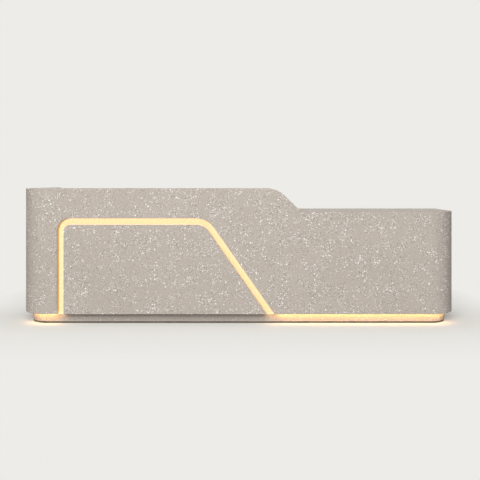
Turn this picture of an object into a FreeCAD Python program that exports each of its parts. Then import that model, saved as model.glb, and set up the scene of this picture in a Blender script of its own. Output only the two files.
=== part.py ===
import FreeCAD, Part
import math
import os

# A stone-clad reception desk: a tall counter with a lit groove on the left and a low counter on the right.
# Frame: X along the desk, -Y towards the visitor, +Y towards the staff, +Z up.
# Origin at the middle of the footprint, on the floor. All sizes are in millimetres.

# Overall sizes
length = 3400.0
depth = 800.0
height = 1050.0
low_drop = 180.0
low_depth = 600.0
corner_radius = 210.0
ledge_depth = 300.0

# Stock thicknesses
slab = 12.0
board = 18.0
cavity = 70.0
back_board = 8.0
batten_width = 40.0
former_count = 4

# Radius of the stone's eased edges, and how near two places count as the same
arris = 2.0
touch = 0.01

# Toe recess, the strip it stands on and the light pocket above it
toe_height = 80.0
toe_inset = 55.0
base_height = 15.0
base_setback = 3.0
pocket_height = 15.0
soffit = 12.0

# Lit groove in the front, measured to its outer edge
groove_from_left = 298.0
groove_from_top = 230.0
groove_foot_from_right = 1424.0
groove_slope = math.radians(55.0)
groove_width = 50.0
groove_depth = 50.0
groove_corner_radius = 100.0
groove_elbow_radius = 170.0
liner = 12.0

# Light channels, shared by the groove and the toe pocket
channel_wall = 2.0
channel_clearance = 0.5
diffuser_thickness = 3.0
tape_width = 12.0
tape_thickness = 1.6
soffit_offset = 17.0
soffit_width = 23.0
downlight_turn = math.radians(58.0)

# Sloping shoulder between the tall and the low counter
shoulder_from_right = 1402.5
shoulder_slope = math.radians(44.0)
shoulder_radius = 180.0
cap_lap = 25.0

# Studs between the stone and the boards
tall_stud_count = 4
low_stud_count = 3
inset_stud_count = 4
stud_margin = 60.0

# Work surface, its steel beam and its cable port
worktop_drop = 120.0
worktop_thickness = 25.0
beam_height = 60.0
beam_width = 30.0
beam_wall = 2.0
beam_setback = 50.0
cleat_height = 40.0
cleat_depth = 25.0
port_from_cabinet = 217.0
port_from_ledge = 60.0
port_hole_radius = 32.0
port_bore_radius = 30.0
port_flange_radius = 38.0
port_flange = 2.5
fit_clearance = 0.05

# Brackets under the ledge
bracket_count = 3
bracket_width = 40.0
bracket_plate = 5.0
bracket_drop = 120.0
bracket_reach = 170.0
bracket_screw_radius = 2.5
bracket_head_radius = 5.0
bracket_head = 3.0
bracket_screw_length = 14.0
bracket_screw_edge = 30.0

# Pedestal with three drawers
pedestal_gap = 2.0
pedestal_width = 448.0
pedestal_wall_gap = 4.0
stretcher_depth = 80.0
stretcher_setback = 45.0
front_setback = 2.0
shallow_front = 140.0
floor_gap = 4.0
grip_gap = 24.0
grip_bevel = 12.0
box_wall = 12.0
box_bottom = 6.0
box_lift = 25.0
box_headroom = 15.0
runner_rear_gap = 18.0
runner_lift = 40.0
runner_thickness = 12.7
runner_sheet = 1.2
runner_height = 45.0
runner_step = 3.3
runner_play = 0.05
cage_length = 60.0

# Cabinet in the low counter
door_gap = 2.0
meeting_gap = 3.0
shelf_setback = 12.0
shelf_play = 1.0
pin_radius = 2.5
pin_length = 16.0
pin_inset = 60.0
pin_clearance = 0.05
hinge_height = 60.0
hinge_inset = 70.0
hinge_barrel_radius = 4.0
hinge_leaf = 1.5
hinge_leaf_width = 13.0
hinge_pin_radius = 1.5
knuckle_gap = 0.3
catch_size = 20.0
catch_depth = 16.0
catch_gap = 0.3

# Light driver with its switch, and the leads
driver_length = 160.0
driver_depth = 30.0
driver_height = 45.0
driver_drop = 165.0
gland_radius = 7.0
gland_length = 14.0
gland_bore_radius = 4.0
rocker_radius = 9.0
rocker_width = 13.4
rocker_face = 4.5
rocker_sink = 3.0
rocker_tilt = 8.0
rocker_clearance = 0.4
rocker_pin_radius = 1.5
rocker_pin_length = 3.0
lead_radius = 2.5
lead_bend = 10.0
lead_rise = 55.0
lead_hole_clearance = 0.5
lead_side_reach = 20.0

# Places worked out from the sizes
half = length / 2
front = -depth / 2
back = depth / 2
low_back = front + low_depth
low_height = height - low_drop
worktop_height = low_height - worktop_drop
flat_end = half - corner_radius
skin_back = front + slab
cavity_back = skin_back + cavity
wall_back = cavity_back + board
wall_thickness = slab + cavity + board
wing_in = -half + wall_thickness
lining_out = wing_in - board
right_out = half - slab - cavity
right_in = right_out - board
core_top = height - slab
wall_top = core_top - board
low_core_top = low_height - slab
low_wall_top = low_core_top - board
ledge_back = front + ledge_depth
pocket_top = toe_height + pocket_height
soffit_top = pocket_top + soffit
worktop_under = worktop_height - worktop_thickness
groove_left = -half + groove_from_left
groove_top = height - groove_from_top
groove_foot = half - groove_foot_from_right
shoulder_top = half - shoulder_from_right
shelf_height = (toe_height + low_wall_top) / 2
driver_z = worktop_under - driver_drop
channel_front = front + groove_depth
cap_start = shoulder_top - shoulder_radius * math.tan(shoulder_slope / 2) - cap_lap


def shoulder_x(z, inset=0.0):
    """X of the shoulder's sloping line at height z, moved in from the outer face by inset."""
    return shoulder_top + (height - z) / math.tan(shoulder_slope) - inset / math.sin(shoulder_slope)


def shoulder_z(x, inset=0.0):
    """Height of the same line at x."""
    return height - (x - shoulder_top + inset / math.sin(shoulder_slope)) * math.tan(shoulder_slope)


def diagonal_x(z, offset):
    """X of the groove's sloping line at height z, moved in from the groove's outer edge by offset."""
    return groove_foot - (z - toe_height) / math.tan(groove_slope) - offset / math.sin(groove_slope)


def diagonal_z(x, offset):
    """Height of the same line at x."""
    return toe_height + (groove_foot - offset / math.sin(groove_slope) - x) * math.tan(groove_slope)


shoulder_foot = shoulder_x(low_height)
low_left = shoulder_x(low_height, slab)
cabinet_left = low_left + board
cabinet_middle = (cabinet_left + right_in) / 2
pedestal_left = wing_in + pedestal_gap
pedestal_right = pedestal_left + pedestal_width
pedestal_rear = wall_back + pedestal_wall_gap
drawer_face = low_back - front_setback
drawer_inner = drawer_face - board
runner_length = drawer_inner - pedestal_rear - back_board - runner_rear_gap
door_inner = low_back - board
door_top = low_wall_top - grip_gap
door_bottom = toe_height + floor_gap


def spaced(start, end, count):
    """Evenly spaced places between two limits, with the same gap before the first and after the last."""
    gap = (end - start) / (count + 1)
    return [start + gap * (i + 1) for i in range(count)]


# Basic shapes


def box(x0, x1, y0, y1, z0, z1):
    return Part.makeBox(x1 - x0, y1 - y0, z1 - z0, FreeCAD.Vector(x0, y0, z0))


def cylinder(radius, start, end):
    axis = end - start
    return Part.makeCylinder(radius, axis.Length, start, axis)


def rounded_edges(points, radii, closed):
    """Straight edges through points, with a tangent arc at each point whose radius isn't zero."""
    count = len(points)
    arcs = []
    for i, corner in enumerate(points):
        end_point = not closed and i in (0, count - 1)
        if end_point or radii[i] <= 0:
            arcs.append((corner, None, corner))
            continue
        before = (points[i - 1] - corner).normalize()
        after = (points[(i + 1) % count] - corner).normalize()
        half_angle = before.getAngle(after) / 2
        reach = radii[i] / math.tan(half_angle)
        bisector = (before + after).normalize()
        middle = corner + bisector * (radii[i] / math.sin(half_angle) - radii[i])
        arcs.append((corner + before * reach, middle, corner + after * reach))
    edges = []
    for i in range(count):
        start, middle, end = arcs[i]
        if middle is not None:
            edges.append(Part.Arc(start, middle, end).toShape())
        if i + 1 < count or closed:
            next_start = arcs[(i + 1) % count][0]
            if (next_start - end).Length > 1e-6:
                edges.append(Part.LineSegment(end, next_start).toShape())
    return edges


def outline_face(corners, place):
    """A face from corners (a, b) or (a, b, radius), each set in space by place."""
    points = [place(c[0], c[1]) for c in corners]
    radii = [c[2] if len(c) > 2 else 0.0 for c in corners]
    return Part.Face(Part.Wire(rounded_edges(points, radii, True)))


def plan_prism(corners, z0, z1):
    """A solid of constant section seen from above."""
    face = outline_face(corners, lambda a, b: FreeCAD.Vector(a, b, z0))
    return face.extrude(FreeCAD.Vector(0, 0, z1 - z0))


def elevation_prism(corners, y0, y1):
    """A solid of constant section seen from the front."""
    face = outline_face(corners, lambda a, b: FreeCAD.Vector(a, y0, b))
    return face.extrude(FreeCAD.Vector(0, y1 - y0, 0))


def side_prism(corners, x0, x1):
    """A solid of constant section seen from the side, with corners given as (y, z)."""
    face = outline_face(corners, lambda a, b: FreeCAD.Vector(x0, a, b))
    return face.extrude(FreeCAD.Vector(x1 - x0, 0, 0))


def tube(points, radius, bend):
    """A round lead along straight runs joined by arcs."""
    route = Part.Wire(rounded_edges(points, [bend] * len(points), False))
    circle = Part.Circle(points[0], points[1] - points[0], radius)
    return route.makePipeShell([Part.Wire(circle.toShape())], True, False)


def joined(first, *others):
    return first.fuse(list(others)).removeSplitter()


def group(solids):
    return Part.makeCompound(list(solids))


# Outlines that several pieces share


def wall_ring(side, outer, inner, end, back_end):
    """Plan of a wall round the left (-1) or right (1) front corner, between two offsets from its face."""
    return [
        (end, front + outer),
        (side * (half - outer), front + outer, corner_radius - outer),
        (side * (half - outer), back_end),
        (side * (half - inner), back_end),
        (side * (half - inner), front + inner, corner_radius - inner),
        (end, front + inner),
    ]


def toe_ring(outer, inner, left_end, right_end, square=False):
    """Plan of a strip that follows both front corners, between two offsets from the outer face."""
    inner_radius = 0.0 if square else corner_radius - inner
    return [
        (-half + outer, left_end),
        (-half + outer, front + outer, corner_radius - outer),
        (half - outer, front + outer, corner_radius - outer),
        (half - outer, right_end),
        (half - inner, right_end),
        (half - inner, front + inner, inner_radius),
        (-half + inner, front + inner, inner_radius),
        (-half + inner, left_end),
    ]


def groove_edge(offset, foot):
    """The groove's line from its left foot to its right foot, moved in from the outer edge by offset."""
    top = groove_top - offset
    return [
        (groove_left + offset, foot),
        (groove_left + offset, top, groove_corner_radius - offset),
        (diagonal_x(top, offset), top, groove_elbow_radius - offset),
        (diagonal_x(foot, offset), foot),
    ]


def groove_band(outer, inner, foot):
    return groove_edge(outer, foot) + groove_edge(inner, foot)[::-1]


# Stone cladding


def eased(solid, is_free):
    """Rounds the free edges of a stone piece. is_free says whether a point lies on one."""
    edges = [edge for edge in solid.Edges if all(is_free(p) for p in edge.discretize(5)[1:-1])]
    return solid.makeFillet(arris, edges)


def level(value, target):
    return abs(value - target) < touch


def front_fascia():
    profile = [
        (-flat_end, toe_height),
        (flat_end, toe_height),
        (flat_end, low_height),
        (shoulder_foot, low_height),
        (shoulder_top, height, shoulder_radius),
        (-flat_end, height),
    ]
    opening = elevation_prism(groove_edge(0.0, toe_height - slab), front - slab, skin_back + slab)
    slabs = elevation_prism(profile, front, skin_back).cut(opening)
    return eased(slabs, lambda p: level(p.y, front) and abs(p.x) < flat_end - touch)


def inset_panel():
    panel = elevation_prism(groove_edge(groove_width, toe_height), front, skin_back)
    return eased(panel, lambda p: level(p.y, front))


def eased_end(side, end_y, top):
    """The stone round one front corner, back to end_y, with its outer edges eased."""
    skin = plan_prism(wall_ring(side, 0.0, slab, side * flat_end, end_y), toe_height, top)
    centre = FreeCAD.Vector(side * flat_end, front + corner_radius, 0)

    def is_free(p):
        if p.y > centre.y:
            return level(abs(p.x), half)
        return abs(p.x) > flat_end + touch and level(math.dist(p[:2], centre[:2]), corner_radius)

    return eased(skin, is_free)


def left_wing_skin():
    return eased_end(-1, back, height)


def right_end_skin():
    return eased_end(1, low_back, low_height)


def tall_top():
    plan = [
        (-half + slab, skin_back, corner_radius - slab),
        (cap_start, skin_back),
        (cap_start, ledge_back),
        (wing_in, ledge_back),
        (wing_in, back),
        (-half + slab, back),
    ]
    nosing = box(wing_in, cap_start, ledge_back - slab, ledge_back, wall_top, core_top)

    def is_free(p):
        if level(p.z, wall_top):
            return level(p.y, ledge_back)
        inner_side = level(p.x, wing_in) and p.y > ledge_back
        staff_side = level(p.y, ledge_back) and p.x > wing_in
        return level(p.z, height) and (inner_side or staff_side or level(p.y, back))

    return eased(joined(plan_prism(plan, core_top, height), nosing), is_free)


def shoulder_cap():
    profile = [
        (cap_start, height),
        (shoulder_top, height, shoulder_radius),
        (shoulder_foot, low_height),
        (low_left, low_height),
        (shoulder_x(core_top, slab), core_top, shoulder_radius - slab),
        (cap_start, core_top),
    ]
    cap = elevation_prism(profile, skin_back, ledge_back)

    def is_free(p):
        inside = FreeCAD.Vector(p.x, p.y - arris, p.z + arris)
        return level(p.y, ledge_back) and not cap.isInside(inside, touch, True)

    return eased(cap, is_free)


def low_top():
    plan = [
        (low_left, skin_back),
        (half - slab, skin_back, corner_radius - slab),
        (half - slab, low_back),
        (low_left, low_back),
    ]
    nosing = box(low_left, right_out, low_back - slab, low_back, low_wall_top, low_core_top)
    top = joined(plan_prism(plan, low_core_top, low_height), nosing)
    return eased(top, lambda p: level(p.y, low_back) and (level(p.z, low_height) or level(p.z, low_wall_top)))


def end_caps():
    wing_cap = box(-half + slab, wing_in, back - slab, back, toe_height, core_top)
    wing_cap = eased(wing_cap, lambda p: level(p.x, wing_in) and level(p.y, back))
    right_cap = box(right_out, half - slab, low_back - slab, low_back, toe_height, low_core_top)
    return group([wing_cap, right_cap])


def plinth_skin():
    inner = toe_inset + slab
    left_end, right_end = back - toe_inset, low_back - toe_inset
    strip = plan_prism(toe_ring(toe_inset, inner, left_end, right_end), base_height, toe_height)
    left_return = box(-half + inner, wing_in, left_end - slab, left_end, base_height, toe_height)
    right_return = box(right_in, half - inner, right_end - slab, right_end, base_height, toe_height)
    return joined(strip, left_return, right_return)


# What the desk stands on


def base_strips():
    outer, inner = toe_inset + base_setback, wall_thickness - base_setback
    left_end, right_end = back - toe_inset - base_setback, low_back - toe_inset - base_setback
    plan = toe_ring(outer, inner, left_end, right_end)
    strips = [plan_prism(plan, 0.0, base_height)]
    strips += [box(*sides, 0.0, base_height) for sides in inner_rails()]
    return group(strips)


def inner_rails():
    """Plan boxes of the plinth rails under the pedestal and the cabinet."""
    rail_end = drawer_inner - toe_inset
    door_end = door_inner - toe_inset
    ring_end = wall_back
    return [
        (pedestal_right - board, pedestal_right, ring_end, rail_end),
        (wing_in, pedestal_right - board, rail_end - board, rail_end),
        (low_left, cabinet_left, ring_end, door_end),
        (cabinet_left, right_in, door_end - board, door_end),
        (cabinet_middle - board / 2, cabinet_middle + board / 2, ring_end, door_end - board),
    ]


def plinth_frame():
    inner = toe_inset + slab
    ends = back - toe_inset - slab, low_back - toe_inset - slab
    rails = [plan_prism(toe_ring(inner, wall_thickness, *ends), base_height, toe_height)]
    rails += [box(*sides, base_height, toe_height) for sides in inner_rails()]
    return group(rails)


# Lit groove


def groove_liner_outer():
    strip = elevation_prism(groove_band(-liner, 0.0, toe_height), skin_back, cavity_back)
    return strip.cut(group(jumper_holes()))


def groove_liner_inner():
    band = groove_band(groove_width, groove_width + liner, toe_height)
    return elevation_prism(band, skin_back, cavity_back)


def groove_channel():
    """A channel open to the front, and at its two feet, where its light runs out into the toe recess."""
    near, far = channel_clearance, groove_width - channel_clearance
    body = elevation_prism(groove_band(near, far, toe_height), channel_front, cavity_back)
    hollow = groove_band(near + channel_wall, far - channel_wall, toe_height - channel_wall)
    return body.cut(elevation_prism(hollow, channel_front - slab, cavity_back - channel_wall))


def groove_led_tape():
    middle = groove_width / 2
    band = groove_band(middle - tape_width / 2, middle + tape_width / 2, toe_height)
    face = cavity_back - channel_wall
    return elevation_prism(band, face - tape_thickness, face)


def groove_diffuser():
    """The opal band over the channel, turned forward at its two feet to light the toe recess."""
    inset = channel_clearance + channel_wall + channel_clearance
    outline = groove_band(inset, groove_width - inset, toe_height)
    rear = channel_front + diffuser_thickness
    band = elevation_prism(outline, channel_front, rear)
    low_slice = box(-half, half, skin_back, rear, toe_height, toe_height + diffuser_thickness)
    feet = elevation_prism(outline, skin_back, rear).common(low_slice)
    return joined(band, feet)


# Downlights in the toe pocket


def downlight_start(side):
    """X where the left (-1) or right (1) downlight starts, beside the groove."""
    if side < 0:
        return groove_left - liner - channel_wall
    return diagonal_x(toe_height, -liner) + channel_wall


def downlight_run(side, section):
    """A section of (offset from the face, height), carried along the front and some way round a corner."""
    start, bend = downlight_start(side), side * flat_end
    points = [FreeCAD.Vector(start, front + offset, z) for offset, z in section]
    face = Part.Face(Part.makePolygon(points + points[:1]))
    along = FreeCAD.Vector(bend - start, 0, 0)
    straight = face.extrude(along)
    face.translate(along)
    centre = FreeCAD.Vector(bend, front + corner_radius, 0)
    curved = face.revolve(centre, FreeCAD.Vector(0, 0, 1), side * math.degrees(downlight_turn))
    return joined(straight, curved)


def downlight_pair(section):
    return [downlight_run(side, section) for side in (-1, 1)]


def soffit_board():
    """The ceiling of the toe pocket, open where the groove runs out through it."""
    plan = toe_ring(slab, slab + cavity, back - slab, low_back - slab, square=True)
    holes = [elevation_prism(groove_band(-liner, groove_width + liner, toe_height), skin_back, cavity_back)]
    holes += [cylinder(lead_radius + lead_hole_clearance, route[2], route[3]) for route in jumper_routes()]
    return group(plan_prism(plan, pocket_top, soffit_top).cut(group(holes)).Solids)


def soffit_channels():
    """Angle profiles under the pocket's ceiling, open down and back towards the plinth."""
    near, far = soffit_offset, soffit_offset + soffit_width
    inner, under = near + channel_wall, pocket_top - channel_wall
    return downlight_pair([
        (near, toe_height),
        (near, pocket_top),
        (far, pocket_top),
        (far, under),
        (inner, under),
        (inner, toe_height),
    ])


def led_channels():
    return group([groove_channel()] + soffit_channels())


def soffit_tapes():
    near = soffit_offset + channel_wall + channel_clearance
    far, ceiling = near + tape_width, pocket_top - channel_wall
    floor = ceiling - tape_thickness
    return downlight_pair([(near, floor), (near, ceiling), (far, ceiling), (far, floor)])


def led_tapes():
    return group([groove_led_tape()] + soffit_tapes())


def soffit_diffusers():
    """Opal strips across the open side of the angle profiles, facing the plinth and the floor."""
    near, far = soffit_offset + channel_wall + channel_clearance, soffit_offset + soffit_width
    low, high = toe_height, pocket_top - channel_wall - channel_clearance
    tilt = math.atan2(high - low, far - near)
    return group(downlight_pair([
        (near, low),
        (far, high),
        (far - diffuser_thickness / math.sin(tilt), high),
        (near, low + diffuser_thickness / math.cos(tilt)),
    ]))


# Walls behind the stone


def front_wall_board():
    profile = [
        (wing_in, toe_height),
        (right_in, toe_height),
        (right_in, low_wall_top),
        (low_left, low_wall_top),
        (low_left, low_height),
        (shoulder_x(core_top, slab), core_top, shoulder_radius - slab),
        (cap_start, core_top),
        (cap_start, wall_top),
        (wing_in, wall_top),
    ]
    holes = [feed_hole()] + bracket_shanks()
    return elevation_prism(profile, cavity_back, wall_back).cut(group(holes))


def stud(x, z0, z1):
    return box(x, x + batten_width, skin_back, cavity_back, z0, z1)


def wall_battens():
    """Studs between the stone and the boards: fascia, inset panel, wing and right end."""
    liner_top = groove_top + liner
    inset_top = groove_top - groove_width - liner
    inset_offset = groove_width + liner
    under_shoulder = groove_foot + 2 * batten_width
    shoulder_stud_top = min(shoulder_z(under_shoulder + batten_width, slab), wall_top)
    studs = [stud(-flat_end, soffit_top, wall_top)]
    studs.append(stud(under_shoulder, soffit_top, shoulder_stud_top))
    studs.append(stud(flat_end - batten_width, soffit_top, low_wall_top))
    for x in spaced(groove_left + groove_corner_radius, diagonal_x(groove_top, 0.0), tall_stud_count):
        studs.append(stud(x, liner_top, wall_top))
    for x in spaced(low_left, flat_end - batten_width, low_stud_count):
        studs.append(stud(x, soffit_top, low_wall_top))
    inset_right = diagonal_x(soffit_top, inset_offset) - batten_width
    for x in spaced(groove_left + inset_offset, inset_right, inset_stud_count):
        clear_top = diagonal_z(x + batten_width, inset_offset) - stud_margin
        studs.append(stud(x, soffit_top, min(inset_top, clear_top)))
    tangent = front + corner_radius
    wing_end, right_end = back - slab - batten_width, low_back - slab - batten_width
    for y in (tangent, (tangent + wing_end) / 2, wing_end):
        studs.append(box(-half + slab, lining_out, y, y + batten_width, soffit_top, wall_top))
    for y in (tangent, right_end):
        studs.append(box(right_out, half - slab, y, y + batten_width, soffit_top, low_wall_top))
    return group(studs)


def corner_formers():
    """Curved ribs that carry the stone round the two front corners."""
    tangent = front + corner_radius
    ribs = []
    for side, top in ((-1, wall_top), (1, low_wall_top)):
        plan = [
            (side * flat_end, skin_back),
            (side * (half - slab), skin_back, corner_radius - slab),
            (side * (half - slab), tangent),
            (side * right_out, tangent),
            (side * right_out, wall_back),
            (side * right_in, wall_back),
            (side * right_in, cavity_back),
            (side * flat_end, cavity_back),
        ]
        spacing = (top - board - soffit_top) / (former_count - 1)
        for row in range(former_count):
            z = soffit_top + row * spacing
            ribs.append(plan_prism(plan, z, z + board))
    return group(ribs)


def wing_lining():
    return box(lining_out, wing_in, wall_back, back - slab, toe_height, wall_top)


def ledge_core():
    plan = [
        (-half + slab, skin_back, corner_radius - slab),
        (cap_start, skin_back),
        (cap_start, ledge_back - slab),
        (wing_in, ledge_back - slab),
        (wing_in, back - slab),
        (-half + slab, back - slab),
    ]
    return plan_prism(plan, wall_top, core_top).cut(group(bracket_shanks()))


def low_core():
    plan = [
        (low_left, skin_back),
        (half - slab, skin_back, corner_radius - slab),
        (half - slab, low_back - slab),
        (low_left, low_back - slab),
    ]
    return plan_prism(plan, low_wall_top, low_core_top)


def top_cores():
    return group([ledge_core(), low_core()])


def shoulder_panels():
    """The two boards that close the hollow under the shoulder on the staff side."""
    face = ledge_back - slab
    profile = [
        (cap_start + board, worktop_height),
        (low_left, worktop_height),
        (low_left, low_height),
        (shoulder_x(core_top, slab), core_top, shoulder_radius - slab),
        (cap_start + board, core_top),
    ]
    closing = elevation_prism(profile, face - board, face)
    side = box(cap_start, cap_start + board, wall_back, face, worktop_height, core_top)
    return group([closing, side])


# Brackets under the ledge


def ledge_brackets():
    made = []
    for x in spaced(wing_in, cap_start, bracket_count):
        left, right = x - bracket_width / 2, x + bracket_width / 2
        under = wall_top - bracket_plate
        leg = box(left, right, wall_back, wall_back + bracket_plate, wall_top - bracket_drop, wall_top)
        arm = box(left, right, wall_back, wall_back + bracket_reach, under, wall_top)
        inner = wall_back + bracket_plate
        web = [(inner, under), (wall_back + bracket_reach, under), (inner, wall_top - bracket_drop)]
        rib = side_prism(web, x - bracket_plate / 2, x + bracket_plate / 2)
        made.append(joined(leg, arm, rib))
    return group(made).cut(group(bracket_shanks()))


def bracket_screw_lines():
    """Start of each bracket screw under its head, and the way it goes in."""
    lines = []
    side = bracket_width / 4
    leg_z = wall_top - bracket_drop + bracket_screw_edge
    arm_y = wall_back + bracket_reach - bracket_screw_edge
    for x in spaced(wing_in, cap_start, bracket_count):
        for dx in (-side, side):
            wall_start = FreeCAD.Vector(x + dx, wall_back + bracket_plate, leg_z)
            lines.append((wall_start, FreeCAD.Vector(0, -1, 0)))
            ledge_start = FreeCAD.Vector(x + dx, arm_y, wall_top - bracket_plate)
            lines.append((ledge_start, FreeCAD.Vector(0, 0, 1)))
    return lines


def bracket_shanks():
    lines = [(start, start + way * bracket_screw_length) for start, way in bracket_screw_lines()]
    return [cylinder(bracket_screw_radius, *line) for line in lines]


def bracket_screws():
    screws = []
    for (start, way), shank in zip(bracket_screw_lines(), bracket_shanks()):
        head = cylinder(bracket_head_radius, start - way * bracket_head, start)
        screws.append(joined(shank, head))
    return group(screws)


# Work surface


def port_centre(z):
    return FreeCAD.Vector(low_left - port_from_cabinet, ledge_back + port_from_ledge, z)


def work_surface():
    top = box(wing_in, low_left, wall_back, low_back, worktop_under, worktop_height)
    return top.cut(cylinder(port_hole_radius, port_centre(worktop_under), port_centre(worktop_height)))


def worktop_supports():
    """A cleat on the front wall and one on the cabinet's side."""
    z0, z1 = worktop_under - cleat_height, worktop_under
    wall_cleat = box(pedestal_right, low_left - cleat_depth, wall_back, wall_back + cleat_depth, z0, z1)
    beam_front = low_back - beam_setback - beam_width
    side_cleat = box(low_left - cleat_depth, low_left, wall_back, beam_front, z0, z1)
    return group([wall_cleat, side_cleat])


def worktop_beam():
    y1 = low_back - beam_setback
    y0, z0, z1 = y1 - beam_width, worktop_under - beam_height, worktop_under
    outside = box(pedestal_right, low_left, y0, y1, z0, z1)
    w = beam_wall
    return outside.cut(box(pedestal_right, low_left, y0 + w, y1 - w, z0 + w, z1 - w))


def cable_port_ring():
    top, flange_top = worktop_height, worktop_height + port_flange
    sleeve = cylinder(port_hole_radius, port_centre(worktop_under), port_centre(top))
    flange = cylinder(port_flange_radius, port_centre(top), port_centre(flange_top))
    bore = cylinder(port_bore_radius, port_centre(worktop_under), port_centre(flange_top))
    return joined(sleeve, flange).cut(bore)


# Pedestal and drawers


def pedestal_sides():
    rear, face = pedestal_rear, drawer_inner
    left = box(pedestal_left, pedestal_left + board, rear, face, toe_height, worktop_under)
    right = box(pedestal_right - board, pedestal_right, rear, face, toe_height, worktop_under)
    return group([left, right])


def pedestal_inside():
    return pedestal_left + board, pedestal_right - board


def pedestal_bottom():
    x0, x1 = pedestal_inside()
    return box(x0, x1, pedestal_rear, drawer_inner, toe_height, toe_height + board)


def pedestal_back():
    x0, x1 = pedestal_inside()
    return box(x0, x1, pedestal_rear, pedestal_rear + back_board, toe_height + board, worktop_under)


def pedestal_stretchers():
    x0, x1 = pedestal_inside()
    z0, z1 = worktop_under - board, worktop_under
    near = drawer_inner - stretcher_setback
    rear = pedestal_rear + back_board
    return group([
        box(x0, x1, near - stretcher_depth, near, z0, z1),
        box(x0, x1, rear, rear + stretcher_depth, z0, z1),
    ])


def drawer_front_heights(index):
    """Lower and upper edge of a drawer front. Drawer 0 is on top, and drawer 2 takes the height left."""
    top = worktop_under - grip_gap - index * (shallow_front + grip_gap)
    if index == 2:
        return toe_height + floor_gap, top
    return top - shallow_front, top


def bevelled_panel(x0, x1, y0, y1, z0, z1):
    """A front panel whose top edge is cut back on the inside, as a finger grip."""
    section = [
        (y0, z0),
        (y1, z0),
        (y1, z1),
        (y0 + grip_bevel, z1),
        (y0, z1 - grip_bevel),
    ]
    return side_prism(section, x0, x1)


def drawer_front(index):
    z0, z1 = drawer_front_heights(index)
    return bevelled_panel(pedestal_left, pedestal_right, drawer_inner, drawer_face, z0, z1)


def drawer_box_limits(index):
    x0, x1 = pedestal_inside()
    z0, z1 = drawer_front_heights(index)
    rear = drawer_inner - runner_length - fit_clearance
    x0 += runner_thickness
    x1 -= runner_thickness
    return x0, x1, rear, drawer_inner, z0 + box_lift, z1 - box_headroom


def drawer_box(index):
    x0, x1, y0, y1, z0, z1 = drawer_box_limits(index)
    w = box_wall
    return group([
        box(x0, x0 + w, y0, y1, z0, z1),
        box(x1 - w, x1, y0, y1, z0, z1),
        box(x0 + w, x1 - w, y0, y0 + w, z0, z1),
        box(x0 + w, x1 - w, y1 - w, y1, z0, z1),
        box(x0 + w, x1 - w, y0 + w, y1 - w, z0, z0 + box_bottom),
    ])


def runner_member(index, side, web, lips, half_height):
    """One channel of a drawer runner. web and lips are spans from the pedestal's side inwards."""
    x0, x1 = pedestal_inside()
    wall = x0 if side < 0 else x1
    y1 = drawer_inner
    y0 = y1 - runner_length
    centre = drawer_front_heights(index)[0] + box_lift + runner_lift
    pieces = []
    for (near, far), z0, z1 in (
        (web, -half_height, half_height),
        (lips, half_height - runner_sheet, half_height),
        (lips, -half_height, -half_height + runner_sheet),
    ):
        a, b = sorted((wall - side * near, wall - side * far))
        pieces.append(box(a, b, y0, y1, centre + z0, centre + z1))
    return pieces


def runner_sizes():
    """Web span, lip span and half height of the three nested members, from the cabinet side inwards."""
    t, step = runner_sheet, runner_step
    outer_half = runner_height / 2
    middle_web = step - t / 4
    inner_lip = middle_web + 2 * t + fit_clearance
    cabinet = ((0.0, t), (0.0, runner_thickness - step), outer_half)
    middle_lip_end = runner_thickness - t - channel_clearance
    middle = ((middle_web, middle_web + t), (middle_web, middle_lip_end), outer_half - step)
    inner = ((runner_thickness - t, runner_thickness), (inner_lip, runner_thickness), outer_half - 2 * step)
    return cabinet, middle, inner


def runner_set(index, member):
    solids = []
    for side in (-1, 1):
        first, *rest = runner_member(index, side, *runner_sizes()[member])
        solids.append(joined(first, *rest))
    return solids


def runner_cabinet_members():
    return group(solid for index in range(3) for solid in runner_set(index, 0))


def runner_drawer_members(index):
    return group(runner_set(index, 2))


def runner_middle_members(index):
    """The sliding middle members, each with its four ball cages in the races above and below."""
    cabinet, middle, inner = runner_sizes()
    x0, x1 = pedestal_inside()
    centre = drawer_front_heights(index)[0] + box_lift + runner_lift
    races = (
        (middle[2] - fit_clearance, cabinet[2] - runner_sheet - runner_play),
        (inner[2] + runner_play, middle[2] - runner_sheet + fit_clearance),
    )
    near, far = inner[1][0] + runner_sheet, cabinet[1][1]
    y_middle = drawer_inner - runner_length / 2
    y0, y1 = y_middle - cage_length / 2, y_middle + cage_length / 2
    solids = []
    for side in (-1, 1):
        wall = x0 if side < 0 else x1
        a, b = sorted((wall - side * near, wall - side * far))
        cages = []
        for low, high in races:
            cages.append(box(a, b, y0, y1, centre + low, centre + high))
            cages.append(box(a, b, y0, y1, centre - high, centre - low))
        solids.append(joined(*runner_member(index, side, *middle), *cages))
    return group(solids)


# Cabinet in the low counter


def cabinet_uprights():
    left = box(low_left, cabinet_left, wall_back, low_back, toe_height, low_wall_top)
    right = box(right_in, right_out, wall_back, low_back, toe_height, low_wall_top)
    edge = door_inner - door_gap
    x0, x1 = cabinet_middle - board / 2, cabinet_middle + board / 2
    partition = box(x0, x1, wall_back, edge, toe_height + board, low_wall_top)
    holes = group(cylinder(pin_radius, a, b) for a, b in shelf_pin_lines())
    return group(upright.cut(holes) for upright in (left, partition, right))


def cabinet_bottom():
    return box(cabinet_left, right_in, wall_back, door_inner - door_gap, toe_height, toe_height + board)


def cabinet_bays():
    """Left and right limits of the two bays."""
    return (cabinet_left, cabinet_middle - board / 2), (cabinet_middle + board / 2, right_in)


def cabinet_shelves():
    y0, y1 = wall_back + shelf_play, door_inner - door_gap - shelf_setback
    z0 = shelf_height
    return group(box(a + shelf_play, b - shelf_play, y0, y1, z0, z0 + board) for a, b in cabinet_bays())


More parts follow.
